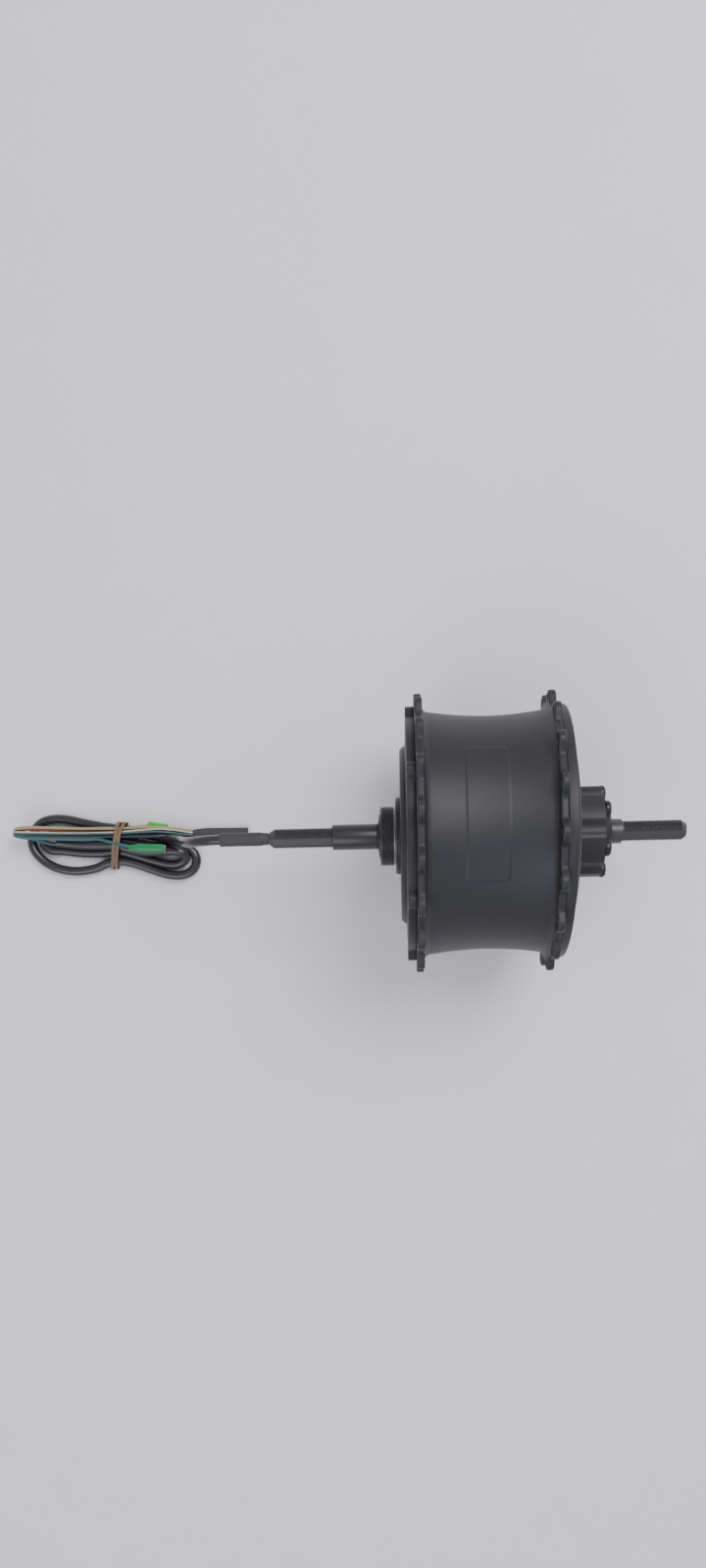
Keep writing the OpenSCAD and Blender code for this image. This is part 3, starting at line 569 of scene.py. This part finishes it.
flat_y = np.linspace(-181.5, -145.0, 30)
flat_line = np.stack([np.interp(flat_y, [-181.5, -145], [-4.6, -4.2]), flat_y,
                      np.interp(flat_y, [-181.5, -145], [-79.1, -79.0])], 1)
flat_width = np.interp(flat_y, [-181.5, -179, -173, -145], [2.5, 3.0, 3.6, 3.65])
flat_height = np.interp(flat_y, [-181.5, -176, -170, -145], [2.1, 1.95, 1.55, 1.35])
flat_sleeve = solid("terminal_flat_sleeve", [swept(flat_line, flat_width, flat_height, 48, 2.6)],
                    sleeve_black, "axle_set", ["terminal_sleeve"], 40)

tube_upper = green_tube(
    "phase_tube_lime", [(2.25, -6.4, 0.1), (2.85, -6.4, 0.2), (2.85, 6.4, 0.2), (2.25, 6.4, 0.1)],
    (-9.5, -205, -78.5), -9, [-7, -2, 7], [1.0, 1.0, 0.94], [1.0, 0.98, 0.86], tube_lime, "phase_tube_upper")
lower_place = (4.0, -211, -67.2)
tube_lower = green_tube(
    "phase_tube_green",
    [(2.2, -11.5, 0.1), (2.8, -11.5, 0.2), (2.85, -4, 0), (2.85, 11.5, 0.2), (2.25, 11.5, 0.1)],
    lower_place, -3, [-11.5, -3, 11.5], [0.55, 1.0, 1.0], [0.5, 0.95, 0.92], tube_green, "phase_tube_lower")

# The terminal's tongue: crimp barrel, neck, and the flat blade whose tip shows
tongue_y = np.array([-207.5, -207, -203, -201.6, -201.4, -198.6, -198.2])
tongue_half_width = np.array([1.5, 1.7, 1.7, 2.2, 2.3, 2.3, 1.9])
tongue_half_height = np.array([1.4, 1.5, 1.5, 0.45, 0.4, 0.4, 0.35])
tongue_line = np.stack([4.2 + (tongue_y + 206) * 0.07, tongue_y, np.full(7, lower_place[2])], 1)
tongue = solid("phase_terminal_tongue", [swept(tongue_line, tongue_half_width, tongue_half_height, 32, 5)],
               tin_metal, "axle_set", ["phase_terminal"])


def band_turn(station, turn_deg, seed):
    """One flat turn of the band round the hank, 2.3 mm wide and 0.6 mm thick, swaying a little along Y."""
    corners = [(-12.9, -80.7, 0.7), (-12.9, -74.5, 3), (-9, -68.2, 3), (5, -68.2, 4), (17.5, -75, 3),
               (17.5, -80.7, 0.7)]
    path = rounded(corners, 8)
    fine = []
    for a, b in zip(path, np.roll(path, -1, 0)):
        count = max(1, int(np.linalg.norm(b - a) / 1.2))
        fine += [a + (b - a) * k / count for k in range(count)]
    path = np.array(fine)
    tangent = np.roll(path, -1, 0) - np.roll(path, 1, 0)
    tangent /= np.linalg.norm(tangent, axis=1)[:, None]
    normal = np.stack([-tangent[:, 1], tangent[:, 0]], 1)
    s = np.linspace(0, 2 * np.pi, len(path), endpoint=False)
    sway = 0.25 * np.sin(2 * s + seed) + 0.15 * np.sin(5 * s + seed * 2)
    section = rounded([(-1.15, 0.1, 0.15), (1.15, 0.1, 0.15), (1.15, 0.7, 0.25), (-1.15, 0.7, 0.25)], 3)
    out = path[:, None, :] + normal[:, None, :] * section[None, :, 1:2]
    x, z = out[..., 0], out[..., 1]
    y = section[None, :, 0] + sway[:, None] + 0 * x
    x, y = turned_about_z(x, y, turn_deg)
    return np.stack([x, station + y, z], -1), grid_faces(len(path), len(section))


band = solid("rubber_band_turns", [band_turn(-229.4, -14, 0.4), band_turn(-232.2, -12.5, 2.1)],
             band_brown, "axle_set", ["rubber_band"], 50)

print("cords declared:", 1 + len(wires))

# %% [markdown]
# ## Axle
# The axle is one turned outline. Both ends carry an M12 thread with a pitch of 1.25 mm, cut as a true
# right-handed helix, and two flats 10 mm apart that stop the axle turning in the frame. The flats
# face 30 degrees off straight up. The spacer sleeve over the drive side is a smooth ground tube.

# %% Axle and sleeve
def thread_cut(r, y, t, pitch, depth, y0, y1, fade=1.4):
    """Radius less a right-handed V groove between the stations y0 and y1.

    With f the fraction of y / pitch - t / 2 pi, the groove is depth times the share 1 - |2 f - 1|,
    trimmed to flat crests. It fades in over fade mm at each end."""
    f = (y / pitch - t / (2 * np.pi)) % 1.0
    groove = np.clip((1 - np.abs(2 * f - 1)) * 1.3 - 0.15, 0, 1)
    inside = np.clip(np.minimum(y - y0, y1 - y) / fade, 0, 1)
    return r - depth * groove * inside


axle_end, dropout = 122.5, 85.0
thread_r, thread_pitch, thread_depth = 6.0, 1.25, 0.72
bore_r, half_across_flats, flat_turn = 3.5, 5.0, math.radians(30)
sleeve_end_y, left_flats_end_y = -58.0, -64.9


def axle_threads(r, y, t, extra):
    """Both ends' threads, on the rows of the thread's own radius."""
    left = thread_cut(r, y, t, thread_pitch, thread_depth, -axle_end - 0.1, -84.0)
    right = thread_cut(r, y, t, thread_pitch, thread_depth, dropout + 0.3, axle_end + 0.1)
    return np.where(r == thread_r, np.minimum(left, right), r)


left_rows = [(thread_r, y) for y in np.arange(-119.85, -83.5, 0.115)]
right_rows = [(thread_r, y) for y in np.arange(85.25, 120.2, 0.115)]
axle_outline = np.array(
    [(bore_r, -26.4), (bore_r, 0.3 - axle_end), (3.75, -axle_end), (3.9, -axle_end)] + left_rows
    + [(thread_r, -83.0), (thread_r, sleeve_end_y - 0.2), (8.5, sleeve_end_y), (8.5, -35), (10, -35), (10, 2),
       (12.5, 2), (12.5, 4), (7.5, 4), (7.5, 72.5), (7.2, 72.6), (7.2, dropout - 0.2), (7.0, dropout),
       (thread_r, dropout)]
    + right_rows + [(4.2, 122.45), (4.1, axle_end), (0.02, axle_end), (0.02, -26.4)])
axle_points, axle_quads = lathe(axle_outline, 112, axle_threads)
flat_normal = np.array([math.sin(flat_turn), 0, math.cos(flat_turn)])
height_on_flat = axle_points @ flat_normal
near_end = (axle_points[..., 1] < left_flats_end_y) | (axle_points[..., 1] > dropout - 0.01)
past_flat = height_on_flat - np.clip(height_on_flat, -half_across_flats, half_across_flats)
axle_points = axle_points - np.where(near_end, past_flat, 0)[..., None] * flat_normal
solid("axle_threaded", [(axle_points, axle_quads)], thread_steel, "axle_set", ["axle"], 40)

spacer_outline = rounded([(6.1, -84.98, 0.15), (7.45, -84.98, 0.5), (7.45, -58.15, 0.4), (6.1, -58.15, 0.1)])
solid("spacer_sleeve_turned", [lathe(spacer_outline, 128)], oxide_steel, "axle_set",
      ["spacer_sleeve"])

# %% [markdown]
# ## Freewheel boss
# The steel boss for a screw-on freewheel has 24 threads to the inch at 34.9 mm, a relief behind the
# thread and a thin shoulder disc. The relief is bare steel, and shows as a lighter ring.

# %% Freewheel boss
boss_thread_r, boss_pitch, boss_thread_depth, relief_r = 17.45, 1.058, 0.5, 16.6
relief_y = (-48.5, -47.75)


def boss_thread(r, y, t, extra):
    """The freewheel thread, on the rows of its own radius."""
    cut = thread_cut(r, y, t, boss_pitch, boss_thread_depth, -56.6, -48.4, 0.8)
    return np.where(r == boss_thread_r, cut, r)


boss_rows = [(boss_thread_r, y) for y in np.arange(-55.9, -48.75, 0.09)]
boss_outline = np.array(
    [(13.0, -52.5), (13.0, -56.3), (13.3, -56.6), (16.7, -56.6), (17.1, -56.3)] + boss_rows
    + [(relief_r, relief_y[0]), (relief_r, relief_y[1]), (16.8, -47.6), (22.1, -47.6), (22.4, -47.35),
       (22.4, -46.7), (22.2, -46.47), (15.5, -46.52), (15.5, -52.5)])
boss = solid("freewheel_boss_threaded", [lathe(boss_outline, 200, boss_thread)], boss_black, "hub",
             ["freewheel_boss"], 40)
boss.data.materials.append(core_steel)
face_x, face_y, face_z = np.array([face.center[:] for face in boss.data.polygons]).T * 1000
in_relief = (face_y > relief_y[0] - 0.1) & (face_y < relief_y[1] + 0.05) & (np.hypot(face_x, face_z) > 16.2)
boss.data.polygons.foreach_set("material_index", in_relief.astype(np.int32))

# %% [markdown]
# ## Hub shell
# Drum and flanges are one casting. Each flange has 18 lobes with a spoke hole in each; the two sets
# are half a step apart. The drum is waisted, and a shallow pad with rounded corners stands 0.3 mm
# proud of it on one side. The holes and their countersinks are cut with one boolean.

# %% Hub shell
flange_r, valley_r, lobe_r, lobes = 81.5, 74.6, 6.2, 18
spoke_circle_r, spoke_hole_r, countersink_r = 77, 1.5, 2.75
cover_screw_r, screw_hole_r = 69.5, 2.0
left_flange, right_flange = (-36.1, -31.7), (40.0, 44.4)
drum_inner_r, waist_r, waist_y = 63.65, 67.7, 5.5
pad_turn, pad_middle_y, pad_height, pad_edge = math.radians(259.2), 2.5, 0.3, 1.3
pad_half_y, pad_half_round, pad_corner_r = 8.4, 35.6, 3.2


def shell_shape(r, y, t, weights):
    """Radius plus the flanges' lobes and the pad.

    The pad is a rounded rectangle laid on the drum. Outside is the distance past its edge: the hypotenuse
    of how far a point lies past the straight sides along Y and round the drum, less the corner radius."""
    lobe_centre_r = flange_r - lobe_r
    left = bumps(t, lobes, 0, valley_r, lobe_centre_r, lobe_r, 2.2) - flange_r
    right = bumps(t, lobes, 180 / lobes, valley_r, lobe_centre_r, lobe_r, 2.2) - flange_r
    r = r + weights[:, :1] * left + weights[:, 1:2] * right
    d = (t - pad_turn + np.pi) % (2 * np.pi) - np.pi
    past_y = np.maximum(np.abs(y - pad_middle_y) - pad_half_y, 0)
    past_round = np.maximum(np.abs(d) * 68 - pad_half_round, 0)
    outside = np.hypot(past_y, past_round) - pad_corner_r
    edge = np.clip(0.5 - outside / pad_edge, 0, 1)
    pad = pad_height * edge * edge * (3 - 2 * edge)
    return r + np.where((r > 66) & (r < 71) & (np.abs(y) < 20), pad, 0)


def flange_rim(corners, weights):
    """Outline corners of a flange's rim, each (radius, station, arc radius), with its lobe weights."""
    return [(*corner, *weights) for corner in corners]


# The rows lie closer together where the pad's edges run round the drum
waist_rows = np.r_[np.arange(-26, -10.5, 2.2), np.arange(-10.2, -5, 0.4), np.arange(-4.8, 9.5, 1.5),
                   np.arange(10, 15.4, 0.4), np.arange(16.5, 34.5, 2.5)]
waist = [(waist_r + 0.0026 * (y - waist_y) ** 2, y, 0) for y in waist_rows]
shell_outline = rounded(
    flange_rim([(drum_inner_r, left_flange[0], 0), (72.0, left_flange[0], 0)], (0, 0))
    + flange_rim([(80.6, left_flange[0], 0), (81.2, -35.9, 0.3), (flange_r, -35.2, 0.5),
                  (flange_r, -32.6, 0.5), (81.2, -31.95, 0.3), (80.6, left_flange[1], 0)], (1, 0))
    + flange_rim([(73.2, left_flange[1], 0.6), (71.4, -30.4, 1.2), (70.5, -28.4, 1.5), *waist,
                  (70.2, 37.0, 1.5), (71.2, 38.8, 1.2), (73.2, right_flange[0], 0.6)], (0, 0))
    + flange_rim([(80.6, right_flange[0], 0), (81.2, 40.2, 0.3), (flange_r, 40.9, 0.5), (flange_r, 43.4, 0.5),
                  (81.1, 44.1, 0.3), (80.4, right_flange[1], 0)], (0, 1))
    + flange_rim([(72.0, right_flange[1], 0), (drum_inner_r, right_flange[1], 0)], (0, 0)), 3)
shell = solid("hub_shell_cast", [lathe(shell_outline, 720, shell_shape)], satin_black, "hub",
              ["hub_shell", "left_spoke_flange", "right_spoke_flange"], 28)


def cut_away(piece, parts, sharp):
    """Cut the closed parts out of the piece with an exact boolean, and apply the result to its mesh."""
    cutter = solid("cutter", parts, satin_black, "hub")
    cut = piece.modifiers.new("holes", "BOOLEAN")
    cut.operation, cut.solver, cut.object = "DIFFERENCE", "EXACT", cutter
    bpy.context.view_layer.update()
    evaluated = piece.evaluated_get(bpy.context.evaluated_depsgraph_get())
    mesh = bpy.data.meshes.new_from_object(evaluated)
    piece.modifiers.clear()
    piece.data = mesh
    mesh.shade_smooth()
    mesh.set_sharp_from_angle(angle=math.radians(sharp))
    bpy.data.objects.remove(cutter)
    print(piece.name, "after cutting:", len(mesh.polygons), "faces")


def on_circle(outline, count, radius, start_deg, columns, shape=None):
    """Copies of one turned part whose own axes lie at that radius from the hub's, the first at start_deg."""
    points, quads = lathe(outline, columns, shape)
    angles = np.radians(start_deg + 360 / count * np.arange(count))
    return [(points + np.array([radius * math.cos(a), 0, -radius * math.sin(a)]), quads) for a in angles]


# Outlines of cutters start and end beside their own axis, which keeps them closed rings
on_axis = 0.001
hole_parts = []
for start_deg, drum_face, outer_face in ((0, left_flange[1], left_flange[0]),
                                         (180 / lobes, right_flange[0], right_flange[1])):
    inward = math.copysign(1.0, drum_face - outer_face)
    spoke_hole = np.array([
        (on_axis, outer_face - inward), (spoke_hole_r, outer_face - inward),
        (spoke_hole_r, drum_face - inward * 1.25), (countersink_r, drum_face),
        (countersink_r, drum_face + inward), (on_axis, drum_face + inward)])
    hole_parts += on_circle(spoke_hole, lobes, spoke_circle_r, start_deg, 28)
for y0, y1 in ((-37.0, -31.9), (40.2, 45.5)):
    screw_hole = np.array([(on_axis, y0), (screw_hole_r, y0), (screw_hole_r, y1), (on_axis, y1)])
    hole_parts += on_circle(screw_hole, 6, cover_screw_r, 0, 24)
cut_away(shell, hole_parts, 28)

# %% [markdown]
# ## Covers
# Both covers are turned dishes with a rim. The drive side rim is drawn out into six tabs round its
# screws, the disc side one is plain and wider. All screws sit flush in counterbores. The disc side
# carries the brake boss, whose section is a six-lobed flower that runs into the dish with a fillet,
# and a raised cap over its seal.

# %% Covers
drive_rim_y, brake_rim_y, drive_rim_r, brake_rim_r, bearing_r = -41.2, 50.0, 68, 73.4, 17.5
boss_r, bite_r, bite_centre_r, boss_turn = 26.4, 7, 31.2, math.radians(25)
rotor_face_y = 72.5


def tab_shape(r, y, t, weights):
    """Radius with the drive rim's circle swapped for one with six tabs, for rows of weight 1."""
    return r + weights[:, :1] * (bumps(t, 6, 0, drive_rim_r, 69.3, 5, 1.6) - drive_rim_r)


def counterbores(y0, y1, through):
    """Six holes for the cover screws: 3.3 mm in radius from y0 to y1, and 2.2 mm on to through."""
    outline = np.array([(on_axis, y0), (3.3, y0), (3.3, y1), (2.2, y1), (2.2, through), (on_axis, through)])
    return on_circle(outline, 6, cover_screw_r, 0, 32)


drive_outline = rounded([
    (bearing_r, -46.4, 0, 0), (22.5, -46.4, 0.2, 0), (22.5, -44.7, 0.3, 0), (49.6, -44.7, 1.5, 0),
    (51.5, -42.8, 1.0, 0), (51.7, -41.7, 0.5, 0), (61, drive_rim_y, 1, 0), (64, drive_rim_y, 0, 0),
    (drive_rim_r, drive_rim_y, 0.7, 1), (drive_rim_r, -36.15, 0.4, 1), (63.5, -36.15, 0, 0),
    (63.5, -33, 0, 0), (60, -33, 0.5, 0), (60, -37, 1, 0), (24, -39, 1, 0), (22.5, -36.5, 0, 0),
    (bearing_r, -36.5, 0, 0)])
drive_cover = solid("drive_side_cover_dish", [lathe(drive_outline, 480, tab_shape)], satin_black, "hub",
                    ["drive_side_cover"], 30)
cut_away(drive_cover, counterbores(drive_rim_y - 1, -38.75, -35.0), 30)


def brake_shape(r, y, t, weights):
    """Radius with the flower of the boss for rows of weight 1.

    A valley is where a circle of bite_r at distance c = bite_centre_r bites into the boss's disc. At angle
    d from its middle the polar radius is c cos d - sqrt(bite_r^2 - c^2 sin^2 d)."""
    d = (t - boss_turn) % (np.pi / 3)
    d = np.minimum(d, np.pi / 3 - d)
    bite = bite_r**2 - (bite_centre_r * np.sin(d)) ** 2
    near = bite_centre_r * np.cos(d) - np.sqrt(np.maximum(bite, 0))
    flower = np.where(bite > 0, np.minimum(boss_r, near), boss_r)
    flower = averaged(flower[0], t.shape[1] // 120 * 2 + 1)[None, :] - boss_r
    return r + weights[:, :1] * flower


# Inside of the dish and the rim, outside of the dish, boss, and the cap over the seal
brake_outline = rounded([
    (bearing_r, 52, 0, 0), (24, 52, 0, 0), (36, 51.8, 2, 0), (46, 50.6, 2, 0), (51.5, 48.6, 2, 0),
    (53, 46, 1, 0), (60, 44.2, 1, 0), (60, 41, 0.3, 0), (63.5, 41, 0.3, 0), (63.5, 44.45, 0, 0),
    (66, 44.45, 0, 0), (brake_rim_r, 44.45, 0.4, 0), (brake_rim_r, brake_rim_y, 0.9, 0),
    (65, brake_rim_y, 0, 0), (60, 50.3, 1.5, 0), (57.6, 51.2, 1, 0), (56.8, 52.6, 1, 0), (55.2, 53.6, 1.2, 0),
    (50, 54.5, 4, 0), (44, 55.3, 5, 0), (36, 56.1, 5, 0), (31, 56.4, 2, 0), (26.6, 56.6, 1.6, 1),
    (boss_r, 62, 0, 1), (boss_r, rotor_face_y, 0.8, 1), (20, rotor_face_y, 0, 0),
    (14.8, rotor_face_y, 0.3, 0), (14.8, 74, 0.6, 0), (13.8, 76.6, 1, 0), (11.4, 78, 0.8, 0),
    (8.2, 78, 0.3, 0), (8.2, 76, 0, 0), (13.2, 74.5, 0, 0), (13.2, 67.0, 0, 0), (bearing_r, 66.9, 0, 0)], 5)
brake_cover = solid("brake_side_cover_dish", [lathe(brake_outline, 720, brake_shape)], satin_black, "hub",
                    ["brake_side_cover"], 30)
cut_away(brake_cover, counterbores(brake_rim_y + 1, 47.5, 43.5), 30)

# %% [markdown]
# ## Screws and bolts
# The cover screws have flat socket heads, flush with the rims. The six rotor bolts have button heads
# of 9.6 mm with a hex socket. A head is a small turned part whose socket rows follow a hexagon instead
# of a circle.

# %% Screws and bolts
def hexagon(r, y, t, weights):
    """Radius times a hexagon's share cos 30 / cos d, d from the middle of a flat, for rows of weight 1."""
    d = t % (np.pi / 3) - np.pi / 6
    return r * (1 + weights[:, :1] * (math.cos(math.pi / 6) / np.cos(d) - 1))


def screw_outline(face, inward, shank_end):
    """Turned outline of a cover screw, from its socket's floor round the head to its shank's end.

    The head's face lies at station face, and inward is the sign of Y into the part."""
    head_r, head_h, shank_r, socket_r, socket_depth = 3.2, 2.4, 1.9, 1.95, 1.6
    return rounded([
        (on_axis, face + inward * socket_depth, 0, 0), (socket_r, face + inward * socket_depth, 0, 1),
        (socket_r, face + inward * 0.15, 0, 1), (socket_r * 1.12, face, 0, 0.6),
        (head_r, face, head_h * 0.3, 0), (head_r, face + inward * head_h, 0.15, 0),
        (shank_r, face + inward * head_h, 0, 0), (shank_r, shank_end, 0, 0), (on_axis, shank_end, 0, 0)])


for side, face, inward, shank_end in (("drive", drive_rim_y, 1, -32.15), ("brake", brake_rim_y, -1, 40.95)):
    screws = on_circle(screw_outline(face, inward, shank_end), 6, cover_screw_r, 0, 48, hexagon)
    solid(side + "_cover_socket_screws", screws, screw_black, "hub",
          [side + "_cover_screws"], 35)

bolt_outline = rounded([
    (on_axis, 74.2, 0, 0), (2.4, 74.2, 0, 1), (2.4, 75.5, 0, 1), (2.7, 75.68, 0, 0.6), (3.6, 75.7, 0.5, 0),
    (4.8, 74.5, 0.6, 0), (4.8, 72.52, 0.2, 0), (2.4, 72.52, 0, 0), (2.4, 63, 0, 0), (on_axis, 63, 0, 0)])
solid("rotor_button_bolts", on_circle(bolt_outline, 6, 22, -5, 48, hexagon), screw_black, "hub",
      ["rotor_bolts"], 35)

# %% [markdown]
# ## Finishes of the CAD pieces inside
# Everything inside the hub keeps its CAD shape and only gets its finish, by the record's slot names.

# %% Inner finishes
slot_finish = {
    "axle_steel": oxide_steel, "black_alloy": satin_black, "boss_steel": boss_black,
    "bolt_steel": screw_black, "bearing_steel": ground_steel, "bare_alloy": bare_alloy,
    "core_steel": core_steel, "copper": copper, "ivory_plastic": ivory, "board_green": board_green,
    "black_plastic": black_resin, "cable_black": cable_black, "lead_yellow": wire_finishes["yellow"],
    "gear_nylon": gear_nylon, "magnet": magnet_nickel, "bronze": bronze, "sleeve_black": sleeve_black,
    "tube_green": tube_green, "terminal_metal": tin_metal, "band_brown": band_brown,
    "seal_rubber": seal_black,
}
for part in frame["record"]["subparts"]:
    piece = frame["nodes"][part["node"]]
    piece.data.materials.clear()
    piece.data.materials.append(slot_finish[part["material_slot"]])

# %% Box of what shows
size["visual"] = [list(corner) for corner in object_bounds()]
print("box of what shows, m:", [[round(v, 4) for v in c] for c in size["visual"]])
